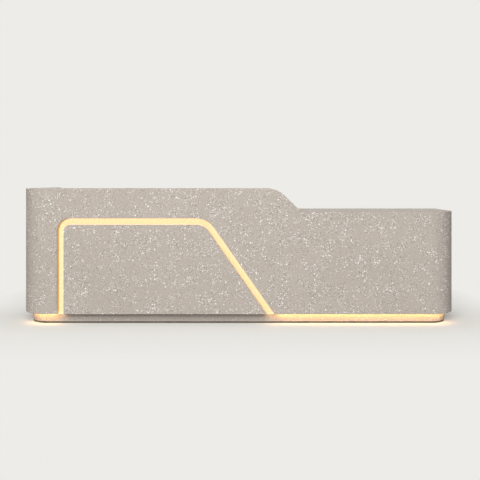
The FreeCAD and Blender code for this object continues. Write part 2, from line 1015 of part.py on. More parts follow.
def shelf_pin_lines():
    """Axis of each shelf pin, from inside its upright to under the shelf."""
    z = shelf_height - pin_radius
    y_near, y_far = wall_back + pin_inset, door_inner - door_gap - shelf_setback - pin_inset
    lines = []
    for a, b in cabinet_bays():
        for wall, way in ((a, 1), (b, -1)):
            for y in (y_near, y_far):
                start = FreeCAD.Vector(wall - way * pin_length / 2, y, z)
                lines.append((start, start + FreeCAD.Vector(way * pin_length, 0, 0)))
    return lines


def shelf_pins():
    return group(cylinder(pin_radius - pin_clearance, a, b) for a, b in shelf_pin_lines())


def hinge_axis_x(side):
    """The left door turns at side -1, the right door at side 1."""
    return cabinet_left + door_gap / 2 if side < 0 else right_in - door_gap / 2


def hinge_axis_y():
    return low_back + hinge_barrel_radius


def hinge_heights():
    return door_bottom + hinge_inset, door_top - hinge_inset - hinge_height


def hinge_plate(side, way, z0, z1, reach):
    """A leaf beside the barrel. way is -1 for the cabinet's leaf and 1 for the door's."""
    x = hinge_axis_x(side)
    toward = -side * way
    gap = hinge_barrel_radius + knuckle_gap
    a, b = sorted((x + toward * (gap - reach), x + toward * (gap + hinge_leaf_width)))
    return box(a, b, low_back, low_back + hinge_leaf, z0, z1)


def hinge_knuckle(side, z0, z1, bore):
    x, y = hinge_axis_x(side), hinge_axis_y()
    start, end = FreeCAD.Vector(x, y, z0), FreeCAD.Vector(x, y, z1)
    return cylinder(hinge_barrel_radius, start, end), cylinder(bore, start, end)


def hinge_leaf_solid(side, way, z, spans, bore):
    """A leaf with its knuckles. spans are the knuckles' lower and upper ends, measured from z."""
    solid = hinge_plate(side, way, z, z + hinge_height, 0.0)
    reach = hinge_barrel_radius + knuckle_gap
    bores = []
    for low, high in spans:
        barrel, hole = hinge_knuckle(side, z + low, z + high, bore)
        tongue = hinge_plate(side, way, z + low, z + high, reach)
        solid = joined(solid, barrel, tongue)
        bores.append(hole)
    return solid.cut(group(bores))


def hinge_spans():
    third = hinge_height / 3
    outer = [(0.0, third), (2 * third, hinge_height)]
    middle = [(third + knuckle_gap, 2 * third - knuckle_gap)]
    return outer, middle


def door_hinges():
    """The leaves on the cabinet's uprights, with their pins."""
    outer, _ = hinge_spans()
    solids = []
    for side in (-1, 1):
        for z in hinge_heights():
            solids.append(hinge_leaf_solid(side, -1, z, outer, hinge_pin_radius))
            x, y = hinge_axis_x(side), hinge_axis_y()
            ends = FreeCAD.Vector(x, y, z), FreeCAD.Vector(x, y, z + hinge_height)
            solids.append(cylinder(hinge_pin_radius, *ends))
    return group(solids)


def door_leaves(side):
    _, middle = hinge_spans()
    bore = hinge_pin_radius + fit_clearance
    return group(hinge_leaf_solid(side, 1, z, middle, bore) for z in hinge_heights())


def cabinet_door(side):
    middle = cabinet_middle
    if side < 0:
        x0, x1 = cabinet_left + door_gap, middle - meeting_gap / 2
    else:
        x0, x1 = middle + meeting_gap / 2, right_in - door_gap
    return bevelled_panel(x0, x1, door_inner, low_back, door_bottom, door_top)


def door_catches():
    """A magnetic catch for each door, on the partition."""
    y1 = door_inner - catch_gap
    z1 = door_top - grip_bevel - catch_size
    catches = []
    for side in (-1, 1):
        face = cabinet_middle + side * board / 2
        a, b = sorted((face, face + side * catch_size))
        catches.append(box(a, b, y1 - catch_depth, y1, z1 - catch_size, z1))
    return group(catches)


# Light driver and leads


def driver_x():
    """Middle of the driver, behind the groove's sloping leg."""
    return diagonal_x(driver_z, groove_width / 2)


def driver_face():
    return wall_back + driver_depth


def rocker_axis():
    x = driver_x() - driver_length / 4
    return FreeCAD.Vector(x, driver_face() - rocker_sink, driver_z)


def along_x(radius, centre, half_width):
    way = FreeCAD.Vector(half_width, 0, 0)
    return cylinder(radius, centre - way, centre + way)


def led_driver():
    x0, x1 = driver_x() - driver_length / 2, driver_x() + driver_length / 2
    z0, z1 = driver_z - driver_height / 2, driver_z + driver_height / 2
    case = box(x0, x1, wall_back, driver_face(), z0, z1)
    half_width = rocker_width / 2 + rocker_clearance
    recess = along_x(rocker_radius + rocker_clearance, rocker_axis(), half_width)
    pin_reach = rocker_width / 2 + rocker_pin_length + rocker_clearance
    pin_hole = along_x(rocker_pin_radius + fit_clearance, rocker_axis(), pin_reach)
    return group([case.cut(group([recess, pin_hole])), mains_gland()])


def switch_rocker():
    """A see-saw key with a flat face, tipped to the lit position."""
    axis = rocker_axis()
    key = along_x(rocker_radius, axis, rocker_width / 2)
    above = box(
        axis.x - rocker_width, axis.x + rocker_width,
        axis.y + rocker_face, axis.y + rocker_face + 2 * rocker_radius,
        axis.z - 2 * rocker_radius, axis.z + 2 * rocker_radius,
    )
    pins = along_x(rocker_pin_radius, axis, rocker_width / 2 + rocker_pin_length)
    rocker = joined(key.cut(above), pins)
    rocker.rotate(axis, FreeCAD.Vector(1, 0, 0), rocker_tilt)
    return rocker


def mains_gland():
    """The inlet for the mains lead, at the driver's end."""
    start = FreeCAD.Vector(driver_x() - driver_length / 2, wall_back + driver_depth / 2, driver_z)
    end = start - FreeCAD.Vector(gland_length, 0, 0)
    return cylinder(gland_radius, start, end).cut(cylinder(gland_bore_radius, start, end))


def feed_line():
    """The driver's lead goes straight through the wall into the groove's channel."""
    x = driver_x()
    return FreeCAD.Vector(x, wall_back, driver_z), FreeCAD.Vector(x, cavity_back, driver_z)


def feed_hole():
    return cylinder(lead_radius + lead_hole_clearance, *feed_line())


def jumper_routes():
    """Leads from the groove's two feet to the downlights, inside the walls."""
    z = pocket_top + lead_rise
    y_channel = (channel_front + cavity_back) / 2
    y_soffit = front + soffit_offset + soffit_width / 2
    routes = []
    left_start = groove_left + channel_clearance
    right_start = diagonal_x(z - lead_radius, channel_clearance)
    for x, way in ((left_start, -1), (right_start, 1)):
        x_down = downlight_start(way) + way * lead_side_reach
        routes.append([
            FreeCAD.Vector(x, y_channel, z),
            FreeCAD.Vector(x_down, y_channel, z),
            FreeCAD.Vector(x_down, y_soffit, z),
            FreeCAD.Vector(x_down, y_soffit, pocket_top),
        ])
    return routes


def jumper_holes():
    """Where the jumpers cross the groove's outer liner."""
    radius = lead_radius + lead_hole_clearance
    return [cylinder(radius, route[0], route[1]) for route in jumper_routes()]


def led_leads():
    leads = [cylinder(lead_radius, *feed_line())]
    leads += [tube(route, lead_radius, lead_bend) for route in jumper_routes()]
    return group(leads)


# Every piece by the name of its node


def pieces():
    makers = [
        front_fascia, inset_panel, left_wing_skin, right_end_skin, tall_top, shoulder_cap, low_top,
        end_caps, plinth_skin, base_strips, plinth_frame, groove_liner_outer, groove_liner_inner,
        groove_diffuser, led_channels, led_tapes, soffit_board, soffit_diffusers, front_wall_board,
        wall_battens, corner_formers, wing_lining, top_cores, shoulder_panels, ledge_brackets,
        bracket_screws, work_surface, worktop_supports, worktop_beam, cable_port_ring, pedestal_sides,
        pedestal_bottom, pedestal_back, pedestal_stretchers, runner_cabinet_members, cabinet_uprights,
        cabinet_bottom, cabinet_shelves, shelf_pins, door_hinges, door_catches, led_driver,
        switch_rocker, led_leads,
    ]
    made = {maker.__name__: maker() for maker in makers}
    for index, name in enumerate(("top", "middle", "bottom")):
        made[name + "_drawer_front"] = drawer_front(index)
        made[name + "_drawer_box"] = drawer_box(index)
        made[name + "_drawer_rails"] = runner_drawer_members(index)
        made[name + "_runner_middles"] = runner_middle_members(index)
    for side, name in ((-1, "left"), (1, "right")):
        made[name + "_door"] = cabinet_door(side)
        made[name + "_door_leaves"] = door_leaves(side)
    return made


os.makedirs("parts", exist_ok=True)
for node, shape in pieces().items():
    shape.exportStep(os.path.join("parts", node + ".step"))
    print(node, len(shape.Solids), "solids", round(shape.Volume / 1000), "cm3", shape.isValid())
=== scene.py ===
"""Looks of a stone-clad reception desk: finishes, small fittings, floor, light and camera.

The frame is in metres: X along the desk, -Y towards the visitor, +Z up, origin on the floor.
"""
import math

import bmesh
import bpy
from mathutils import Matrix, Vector


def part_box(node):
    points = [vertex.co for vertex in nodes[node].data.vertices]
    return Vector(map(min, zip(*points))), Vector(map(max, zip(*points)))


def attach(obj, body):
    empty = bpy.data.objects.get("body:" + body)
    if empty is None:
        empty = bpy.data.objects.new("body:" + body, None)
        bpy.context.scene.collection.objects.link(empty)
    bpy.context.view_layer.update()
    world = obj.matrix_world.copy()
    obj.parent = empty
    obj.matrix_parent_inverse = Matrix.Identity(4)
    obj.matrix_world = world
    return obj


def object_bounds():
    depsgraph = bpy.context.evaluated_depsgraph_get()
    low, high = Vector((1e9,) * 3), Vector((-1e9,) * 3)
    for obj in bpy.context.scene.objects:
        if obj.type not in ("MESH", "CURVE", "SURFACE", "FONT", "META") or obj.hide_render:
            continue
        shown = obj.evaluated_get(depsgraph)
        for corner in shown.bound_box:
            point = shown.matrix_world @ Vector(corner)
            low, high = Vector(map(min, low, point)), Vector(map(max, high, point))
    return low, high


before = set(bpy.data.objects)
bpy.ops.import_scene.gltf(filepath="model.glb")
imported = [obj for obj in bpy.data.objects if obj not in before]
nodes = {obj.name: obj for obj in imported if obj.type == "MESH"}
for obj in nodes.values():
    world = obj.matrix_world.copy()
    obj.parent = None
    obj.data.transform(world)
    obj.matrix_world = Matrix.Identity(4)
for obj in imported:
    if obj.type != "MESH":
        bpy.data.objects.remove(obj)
cad_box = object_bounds()

# Camera, fitted to the photograph's straight edges
frame_px = 480
vanishing_x_px = 238.8
horizon_y_px = 181.4
floor_line_y_px = 324.78
px_per_metre = 129.75
camera_distance = 4.76
sensor_width = 36.0

# Light levels, as the share of a white surface's full brightness. The dome is brightest behind the desk, to
# either side. The key lamp is far away. The panel hangs near, above the visitor, so its light falls off.
dome_level = 0.01
dome_back_level = 2.55
dome_back_towards = (0.45, 0.80, 0.40)
dome_back_falloff = 16.0
key_level = 0.845
key_towards = (-0.11, -0.86, 0.42)
key_angle = math.radians(50)
panel_level = 0.385
panel_place = (-0.5, -4.0, 4.6)
panel_target = (-0.2, -0.4, 0.8)
panel_width = 2.4
panel_height = 1.4

# Floor and backdrop. The floor takes a share of the backdrop's colour, given at places along Y, and more
# of it, by the sideways rate for each metre, past the desk's ends. The share dips near the desk, which
# paints shade there over the desk's real shadow.
floor_reach = 30.0
floor_fade_along = (
    (-1.35, 1.0), (-0.74, 0.76), (-0.40, 0.43), (-0.05, 0.18),
    (0.40, 0.43), (1.10, 0.50), (3.40, 1.0),
)
floor_fade_sideways = 0.9
floor_albedo = (0.80, 0.775, 0.72, 1.0)
floor_bounce = (0.08, 0.074, 0.063, 1.0)

# Stone. A cluster of chips lies where a noise rises between two levels. The plinth's chips stand out less.
cluster_edge = 0.40
cluster_heart = 0.62
large_cluster_edge = 0.42
smallest_chip = 0.6
chip_softness = 0.12
stone_gloss = 0.10
plinth_contrast = 0.55

# Lights in the desk. The groove's glow has painted shade across its width: its colour turns darker and
# more orange from its outer edge to its inner one, and on its upright leg from a shift further in.
# The sloping leg's outer side leans from upright by the slope.
# The downlights fade to a share of their glow between two distances from the desk's ends.
groove_outer_colour = (1.0, 0.705, 0.366, 1.0)
# painted shade: the darker, more orange glow at the groove's inner edge
groove_painted_shade_colour = (1.0, 0.60, 0.267, 1.0)
groove_width = 0.050
groove_slope = math.radians(55)
groove_leg_shift = 0.030
groove_glow = 1.16
groove_foot_glow = 3.0
groove_foot_tolerance = 0.001
soffit_colour = (1.0, 0.55, 0.20, 1.0)
soffit_glow = 15.5
soffit_fade_start = 0.16
soffit_fade_end = 0.05
soffit_end_share = 0.55

# A surface faces along an axis where its direction passes this share of it
facing_share = 0.5

# Rounded edges
weld_reach = 1e-5
round_angle = math.radians(40)
front_edge = 0.0010
board_edge = 0.0015
thin_edge = 0.0008
lining_edge = 0.0012

# Small fittings
smooth_angle = math.radians(35)
ring_points = 24
corner_points = 5
screw_radius = 0.0028
screw_height = 0.0007
hinge_height = 0.060
hinge_leaf_width = 0.013
hinge_leaf = 0.0015
driver_length = 0.160
driver_screw_inset = 2.2 * screw_radius
rib_count = 9
rib_pitch = 0.008
rib_length = 0.030
rib_height = 0.0012
bezel_border = 0.0032
bezel_height = 0.0012
bezel_inside_pins = 0.0022
bezel_clearance = 0.0006
gland_radius = 0.007
nut_radius = 0.0105
nut_length = 0.006
catch_size = 0.020
strike_size = 0.016
strike_height = 0.0002
upright_board = 0.018
pin_radius = 0.0025
pin_half_length = 0.008
sleeve_radius = 1.4 * pin_radius
sleeve_pitch = 0.032
sleeve_rows = 5
sleeve_rim = 0.0003
sleeve_floor = 0.0001
lock_radius = 0.009
lock_height = 0.0018
lock_drop = 0.045


def srgb(red, green, blue):
    """A colour as seen on a screen, from 0 to 255, as the linear values that shaders take."""
    linear = []
    for part in (red, green, blue):
        share = part / 255
        linear.append(share / 12.92 if share <= 0.04045 else ((share + 0.055) / 1.055) ** 2.4)
    return (*linear, 1.0)


backdrop_colour = srgb(237, 236, 232)


# Shader building


class Shading:
    """Short calls that add nodes to a shader tree."""

    def __init__(self, tree):
        self.tree = tree

    def feed(self, socket, value):
        if isinstance(value, bpy.types.NodeSocket):
            self.tree.links.new(value, socket)
        else:
            socket.default_value = value

    def node(self, kind, values=None, **settings):
        made = self.tree.nodes.new(kind)
        for word, value in settings.items():
            setattr(made, word, value)
        for word, value in (values or {}).items():
            self.feed(made.inputs[word], value)
        return made

    def math(self, operation, *values):
        made = self.node("ShaderNodeMath", operation=operation)
        for socket, value in zip(made.inputs, values):
            self.feed(socket, value)
        return made.outputs[0]

    def vector_math(self, operation, *values):
        made = self.node("ShaderNodeVectorMath", operation=operation)
        for socket, value in zip(made.inputs, values):
            self.feed(socket, value)
        return made.outputs

    def parts(self, vector):
        """The X, Y and Z of a vector."""
        return self.node("ShaderNodeSeparateXYZ", {"Vector": vector}).outputs

    def remap(self, value, low, high, to_low=0.0, to_high=1.0, shape="SMOOTHSTEP"):
        """Maps low to high onto two other levels, as a smooth step unless the shape says otherwise."""
        values = {"Value": value, "From Min": low, "From Max": high, "To Min": to_low, "To Max": to_high}
        return self.node("ShaderNodeMapRange", values, interpolation_type=shape).outputs[0]

    def ramp(self, value, *stops):
        """A colour ramp through (position, colour) stops."""
        made = self.node("ShaderNodeValToRGB", {"Fac": value})
        elements = made.color_ramp.elements
        while len(elements) < len(stops):
            elements.new(1.0)
        for element, (position, colour) in zip(elements, stops):
            element.position = position
            element.color = colour
        return made.outputs["Color"]

    def mix(self, mask, under, over):
        made = self.node("ShaderNodeMix", data_type="RGBA")
        colours = [socket for socket in made.inputs if socket.type == "RGBA"]
        self.feed(made.inputs["Factor"], mask)
        self.feed(colours[0], under)
        self.feed(colours[1], over)
        return next(socket for socket in made.outputs if socket.type == "RGBA")

    def seen_directly(self):
        """1 for rays from the camera, off mirrors and through glass, 0 for light that falls on pieces."""
        path = self.node("ShaderNodeLightPath").outputs
        seen = self.math("MAXIMUM", path["Is Camera Ray"], path["Is Glossy Ray"])
        return self.math("MAXIMUM", seen, path["Is Transmission Ray"])

    def show(self, kind, mask, under, over):
        """Mixes two shaders into the output of that kind."""
        mixed = self.node("ShaderNodeMixShader", {"Fac": mask})
        self.feed(mixed.inputs[1], under.outputs[0])
        self.feed(mixed.inputs[2], over.outputs[0])
        self.node(kind, {"Surface": mixed.outputs[0]})


class Finish(Shading):
    """A material on the Principled shader, with textures that ride on the object."""

    def __init__(self, name, roughness=0.5, metallic=0.0):
        self.material = bpy.data.materials.new(name)
        self.material.use_nodes = True
        super().__init__(self.material.node_tree)
        self.shader = self.tree.nodes["Principled BSDF"]
        self.set(Roughness=roughness, Metallic=metallic)
        self.place = self.node("ShaderNodeTexCoord").outputs["Object"]

    def set(self, **values):
        """Feeds the shader's own sockets. A word stands for a socket, with _ for a space."""
        for word, value in values.items():
            self.feed(self.shader.inputs[word.replace("_", " ")], value)

    def stretched(self, x, y, z):
        """The place on the object, multiplied along each axis."""
        return self.node("ShaderNodeMapping", {"Vector": self.place, "Scale": (x, y, z)}).outputs[0]

    def noise(self, scale, detail=2.0, at=None):
        values = {"Vector": at or self.place, "Scale": scale, "Detail": detail}
        return self.node("ShaderNodeTexNoise", values).outputs[0]

    def facing(self):
        """The X, Y and Z of the way the surface faces."""
        return self.parts(self.node("ShaderNodeNewGeometry").outputs["True Normal"])

    def relief(self, height, distance, strength):
        values = {"Height": height, "Distance": distance, "Strength": strength}
        self.set(Normal=self.node("ShaderNodeBump", values).outputs[0])


# Stone


def chips(stone, scale, share, size):
    """Rounded chips in a share of the cells of this scale. Gives their mask and a random tone for each."""
    cell = stone.node("ShaderNodeTexVoronoi", {"Vector": stone.place, "Scale": scale}).outputs
    draws = stone.node("ShaderNodeSeparateColor", {"Color": cell["Color"]}).outputs
    chosen = stone.math("LESS_THAN", draws[0], share)
    reach = stone.math("MULTIPLY_ADD", draws[1], (1 - smallest_chip) * size, smallest_chip * size)
    inside = stone.remap(stone.math("SUBTRACT", reach, cell["Distance"]), 0.0, chip_softness)
    return stone.math("MULTIPLY", chosen, inside), draws[2]


def terrazzo(name, contrast):
    """Honed greige terrazzo, with small pale and dark chips that gather in clusters."""
    stone = Finish(name)
    cloud = stone.noise(3.0, 3.0)
    plain = stone.ramp(cloud, (0.3, srgb(187, 177, 167)), (0.7, srgb(193, 183, 173)))
    grain = stone.noise(110.0, 3.0)
    grain_colour = stone.ramp(grain, (0.3, srgb(152, 142, 133)), (0.7, srgb(219, 209, 200)))
    cluster = stone.noise(13.0, 2.0)
    gather = cluster, cluster_edge, cluster_heart
    colour = stone.mix(stone.remap(*gather, 0.25, 0.60), plain, grain_colour)
    dark, _ = chips(stone, 125.0, stone.remap(*gather, 0.12, 0.58), 0.58)
    colour = stone.mix(stone.math("MULTIPLY", dark, 0.75), colour, srgb(141, 131, 122))
    pale, tone = chips(stone, 112.0, stone.remap(*gather, 0.07, 0.52), 0.56)
    pale_colour = stone.ramp(tone, (0.0, srgb(209, 201, 193)), (1.0, srgb(252, 248, 243)))
    colour = stone.mix(pale, colour, pale_colour)
    large_share = stone.remap(cluster, large_cluster_edge, cluster_heart, 0.04, 0.40)
    large, tone = chips(stone, 60.0, large_share, 0.40)
    large_colour = stone.ramp(tone, (0.0, srgb(228, 222, 215)), (1.0, srgb(255, 254, 252)))
    colour = stone.mix(large, colour, large_colour)
    stone.set(Base_Color=stone.mix(contrast, plain, colour), Specular_IOR_Level=stone_gloss)
    stone.set(Roughness=stone.remap(stone.math("ADD", pale, stone.noise(60.0)), 0.2, 1.4, 0.66, 0.48))
    stone.relief(stone.math("ADD", grain, pale), 0.0002, 0.25)
    return stone.material


# Lights in the desk


def opal_plastic(name, colour, glow):
    """Opal plastic lit from behind, a little mottled. Gives the finish and the strength of its glow."""
    opal = Finish(name, roughness=0.35)
    mottle = opal.noise(60.0, 1.0)
    opal.set(Base_Color=opal.ramp(mottle, (0.3, (0.04, 0.04, 0.04, 1)), (0.7, (0.06, 0.06, 0.06, 1))))
    opal.set(Emission_Color=colour)
    opal.relief(opal.noise(300.0), 0.0001, 0.2)
    return opal, opal.remap(mottle, 0.3, 0.7, 0.95 * glow, 1.05 * glow)


def groove_opal():
    """The groove's diffuser, palest along its outer edge and painted darker towards its inner one as shade,
    and brightest underneath, at the toe recess.
    """
    opal, strength = opal_plastic("groove_opal", groove_outer_colour, groove_glow)
    low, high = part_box("groove_diffuser")
    spot = opal.parts(opal.place)
    from_leg = opal.math("SUBTRACT", spot["X"], low.x + groove_leg_shift)
    from_top = opal.math("SUBTRACT", high.z, spot["Z"])
    outwards = Vector((math.sin(groove_slope), 0, math.cos(groove_slope)))
    reach = opal.vector_math("DOT_PRODUCT", opal.place, outwards)["Value"]
    from_slope = opal.math("SUBTRACT", outwards.dot(Vector((high.x, 0, low.z))), reach)
    inwards = opal.math("MINIMUM", opal.math("MINIMUM", from_leg, from_top), from_slope)
    across = opal.remap(inwards, 0.0, groove_width, shape="LINEAR")
    # painted shade: the glow's colour shifts across the groove's width to the darker inner one
    opal.set(Emission_Color=opal.mix(across, groove_outer_colour, groove_painted_shade_colour))
    down = opal.math("LESS_THAN", opal.facing()["Z"], -facing_share)
    toe_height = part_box("plinth_skin")[1].z
    at_toe = opal.math("LESS_THAN", spot["Z"], toe_height + groove_foot_tolerance)
    foot = opal.math("MULTIPLY", down, at_toe)
    opal.set(Emission_Strength=opal.math("MULTIPLY_ADD", foot, groove_foot_glow, strength))
    return opal.material


def soffit_opal():
    """The downlights' diffusers, which fade towards the corners where the tape ends."""
    opal, strength = opal_plastic("soffit_opal", soffit_colour, soffit_glow)
    from_end = opal.math("SUBTRACT", cad_box[1].x, opal.math("ABSOLUTE", opal.parts(opal.place)["X"]))
    lit = opal.remap(from_end, soffit_fade_end, soffit_fade_start, soffit_end_share)
    opal.set(Emission_Strength=opal.math("MULTIPLY", strength, lit))
    return opal.material


def led_tape():
    tape, strength = opal_plastic("led_tape", groove_outer_colour, groove_glow)
    tape.set(Emission_Strength=strength)
    return tape.material


def champagne_liner():
    """Satin champagne lacquer on the groove's walls."""
    lacquer = Finish("champagne_liner")
    spray = lacquer.noise(500.0, 2.0)
    lacquer.set(Base_Color=lacquer.ramp(spray, (0.3, (0.92, 0.68, 0.29, 1)), (0.7, (0.97, 0.74, 0.33, 1))))
    lacquer.set(Roughness=lacquer.remap(spray, 0.3, 0.7, 0.38, 0.50))
    lacquer.relief(spray, 0.0001, 0.2)
    return lacquer.material


# Other finishes


def grained_wood(name, dark, pale, along, roughness):
    """Wood whose grain runs along one axis: 0 for X, 1 for Y, 2 for Z."""
    wood = Finish(name)
    slow = [9.0, 9.0, 9.0]
    slow[along] = 0.8
    fast = [420.0, 420.0, 420.0]
    fast[along] = 9.0
    figure = wood.noise(3.0, 4.0, wood.stretched(*slow))
    pores = wood.noise(1.0, 3.0, wood.stretched(*fast))
    colour = wood.ramp(figure, (0.30, dark), (0.48, pale), (0.56, dark), (0.70, pale))
    colour = wood.mix(wood.remap(pores, 0.52, 0.70, 0.0, 0.45), colour, tuple(0.55 * c for c in dark))
    wood.set(Base_Color=colour)
    wood.set(Roughness=wood.remap(pores, 0.35, 0.65, roughness - 0.06, roughness + 0.08))
    wood.relief(pores, 0.0003, 0.25)
    return wood.material


def laminate(name, dark, pale, roughness, edge=None, edge_test="LESS_THAN"):
    """Matt laminate with a fine woven texture. An edge band is where the facing along Y passes the test."""
    sheet = Finish(name)
    across = sheet.noise(1.0, 2.0, sheet.stretched(700, 700, 60))
    along = sheet.noise(1.0, 2.0, sheet.stretched(60, 60, 700))
    weave = sheet.math("ADD", across, along)
    colour = sheet.ramp(sheet.math("MULTIPLY", weave, 0.5), (0.35, dark), (0.65, pale))
    if edge:
        banded = sheet.math(edge_test, sheet.math("ABSOLUTE", sheet.facing()["Y"]), facing_share)
        colour = sheet.mix(banded, colour, edge)
    sheet.set(Base_Color=colour)
    sheet.set(Roughness=sheet.remap(weave, 0.6, 1.4, roughness - 0.08, roughness + 0.08))
    sheet.relief(weave, 0.0002, 0.3)
    return sheet.material


def powder_coat(name, dark, pale, roughness, gloss=0.5):
    """Fine orange peel, for powder coat and moulded plastic."""
    coat = Finish(name)
    peel = coat.noise(900.0, 2.0)
    cloud = coat.noise(40.0, 2.0)
    coat.set(Base_Color=coat.ramp(cloud, (0.3, dark), (0.7, pale)), Specular_IOR_Level=gloss)
    coat.set(Roughness=coat.remap(peel, 0.3, 0.7, roughness - 0.07, roughness + 0.07))
    coat.relief(peel, 0.0002, 0.35)
    return coat.material


def brushed_metal(name, dark, pale, roughness, along):
    """Plated or anodised metal, brushed along one axis."""
    metal = Finish(name, metallic=1.0)
    across = [1500.0, 1500.0, 1500.0]
    across[along] = 25.0
    brush = metal.noise(1.0, 2.0, metal.stretched(*across))
    cloud = metal.noise(25.0, 2.0)
    metal.set(Base_Color=metal.ramp(cloud, (0.3, dark), (0.7, pale)))
    metal.set(Roughness=metal.remap(brush, 0.3, 0.7, roughness - 0.08, roughness + 0.10))
    metal.relief(brush, 0.0001, 0.2)
    return metal.material


def make_finishes():
    """The finish of each of the record's material slots."""
    return {
        "terrazzo": terrazzo("terrazzo_stone", 1.0),
        "base_black": powder_coat("base_strip", srgb(100, 93, 80), srgb(116, 109, 94), 0.6, 0.15),
        "groove_liner": champagne_liner(),
        "diffuser": groove_opal(),
        "channel": brushed_metal("anodised_channel", srgb(206, 206, 206), srgb(222, 222, 222), 0.35, 0),
        "tape": led_tape(),
        "plywood": grained_wood("birch_plywood", srgb(176, 143, 104), srgb(206, 176, 136), 0, 0.55),
        "lining": laminate("lining_laminate", srgb(116, 109, 101), srgb(132, 125, 117), 0.55),
        "worktop": grained_wood("walnut_worktop", srgb(136, 105, 78), srgb(180, 148, 116), 0, 0.42),
        "carcass": laminate("carcass_melamine", srgb(198, 194, 186), srgb(212, 208, 200), 0.5,
                            srgb(186, 181, 172), "GREATER_THAN"),
        "fronts": laminate("front_laminate", srgb(142, 134, 125), srgb(156, 148, 139), 0.5,
                           srgb(124, 116, 108), "LESS_THAN"),
        "black_steel": powder_coat("powder_coated_steel", srgb(56, 56, 56), srgb(68, 68, 68), 0.5),
        "zinc": brushed_metal("zinc_plate", srgb(194, 196, 199), srgb(217, 217, 217), 0.32, 1),
        "hinge_steel": brushed_metal("satin_steel", srgb(178, 177, 173), srgb(199, 197, 194), 0.30, 2),
        "black_plastic": powder_coat("moulded_plastic", srgb(46, 46, 46), srgb(58, 58, 58), 0.42),
        "driver_case": powder_coat("driver_plastic", srgb(206, 206, 202), srgb(218, 218, 214), 0.45),
    }


finishes = make_finishes()


def dress_nodes():
    """Puts each slot's finish on the nodes that use it."""
    for node in nodes.values():
        for slot in node.material_slots:
            slot.material = finishes[slot.material.name]
    nodes["soffit_diffusers"].material_slots[0].material = soffit_opal()
    nodes["plinth_skin"].material_slots[0].material = terrazzo("plinth_stone", plinth_contrast)


def soften(width, *names):
    """Rounds the sharp edges of sheet and board pieces, as sanding and edge bands do."""
    for name in names:
        modifiers = nodes[name].modifiers
        modifiers.new("weld", "WELD").merge_threshold = weld_reach
        bevel = modifiers.new("rounded_edges", "BEVEL")
        bevel.width = width
        bevel.segments = 2
        bevel.limit_method = "ANGLE"
        bevel.angle_limit = round_angle
        modifiers.new("even_shading", "WEIGHTED_NORMAL").keep_sharp = False


# Small fittings


east = Vector((1, 0, 0))
staff = Vector((0, 1, 0))
up = Vector((0, 0, 1))


def ring(centre, axis, radius, hexagon=False):
    """A circle of points round an axis, or a hexagon whose corners are at radius."""
    side = axis.orthogonal().normalized()
    across = axis.cross(side)
    points = []
    for i in range(ring_points):
        angle = math.tau * i / ring_points
        reach = radius
        if hexagon:
            reach *= math.cos(math.pi / 6) / math.cos(angle % (math.pi / 3) - math.pi / 6)
        points.append(centre + reach * (math.cos(angle) * side + math.sin(angle) * across))
    return points


def plate(centre, half_width, half_height, corner):
    """The outline of an upright plate with rounded corners that faces along Y."""
    points = []
    for quarter, (side, rise) in enumerate(((1, 1), (-1, 1), (-1, -1), (1, -1))):
        pivot = centre + side * (half_width - corner) * east + rise * (half_height - corner) * up
        for i in range(corner_points):
            angle = (quarter + i / (corner_points - 1)) * math.pi / 2
            points.append(pivot + corner * (math.cos(angle) * east + math.sin(angle) * up))
    return points


class Fitting:
    """One small piece, skinned over loops of points in the frame."""

    def __init__(self):
        self.mesh = bmesh.new()

    def loft(self, loops, tube=False):
        """Skins loops that have the same number of points. A tube joins its last loop to its first."""
        rings = [[self.mesh.verts.new(point) for point in loop] for loop in loops]
        pairs = list(zip(rings, rings[1:]))
        if tube:
            pairs.append((rings[-1], rings[0]))
        else:
            self.mesh.faces.new(rings[0])
            self.mesh.faces.new(rings[-1])
        for near, far in pairs:
            for i in range(len(near)):
                self.mesh.faces.new((near[i - 1], near[i], far[i], far[i - 1]))

    def turned(self, foot, axis, rings, tube=False):
        """Turns rings of (height, radius), or (height, radius, True) for a hexagon, on an axis."""
        self.loft([ring(foot + height * axis, axis, *shape) for height, *shape in rings], tube)

    def screw(self, foot, axis):
        """A pan head with a hexagon socket."""
        r, h = screw_radius, screw_height
        head = [(0.0, r), (0.55 * h, r), (0.9 * h, 0.86 * r), (h, 0.62 * r)]
        self.turned(foot, axis, head + [(h, 0.45 * r, True), (0.3 * h, 0.45 * r, True)])

    def place(self, name, body, slot):
        """Makes the piece, rides it on a body and gives it a slot's finish."""
        bmesh.ops.recalc_face_normals(self.mesh, faces=self.mesh.faces)
        mesh = bpy.data.meshes.new(name)
        self.mesh.to_mesh(mesh)
        self.mesh.free()
        mesh.shade_smooth()
        mesh.set_sharp_from_angle(angle=smooth_angle)
        mesh.materials.append(finishes[slot])
        piece = bpy.data.objects.new(name, mesh)
        bpy.context.scene.collection.objects.link(piece)
        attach(piece, body)


def hinge_screws():
    """Three screws in each leaf of the four hinges."""
    low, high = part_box("left_door_leaves")
    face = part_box("left_door")[1].y + hinge_leaf
    feet = low.z, high.z - hinge_height
    rows = [foot + share * hinge_height for foot in feet for share in (1 / 6, 1 / 2, 5 / 6)]
    middle = hinge_leaf_width / 2
    columns = (
        ("left_door_screws", "left_door", high.x - middle),
        ("right_door_screws", "right_door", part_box("right_door_leaves")[0].x + middle),
        ("left_upright_screws", "desk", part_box("door_hinges")[0].x + middle),
        ("right_upright_screws", "desk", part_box("door_hinges")[1].x - middle),
    )
    for name, body, x in columns:
        screws = Fitting()
        for z in rows:
            screws.screw(Vector((x, face, z)), staff)
        screws.place(name, body, "hinge_steel")


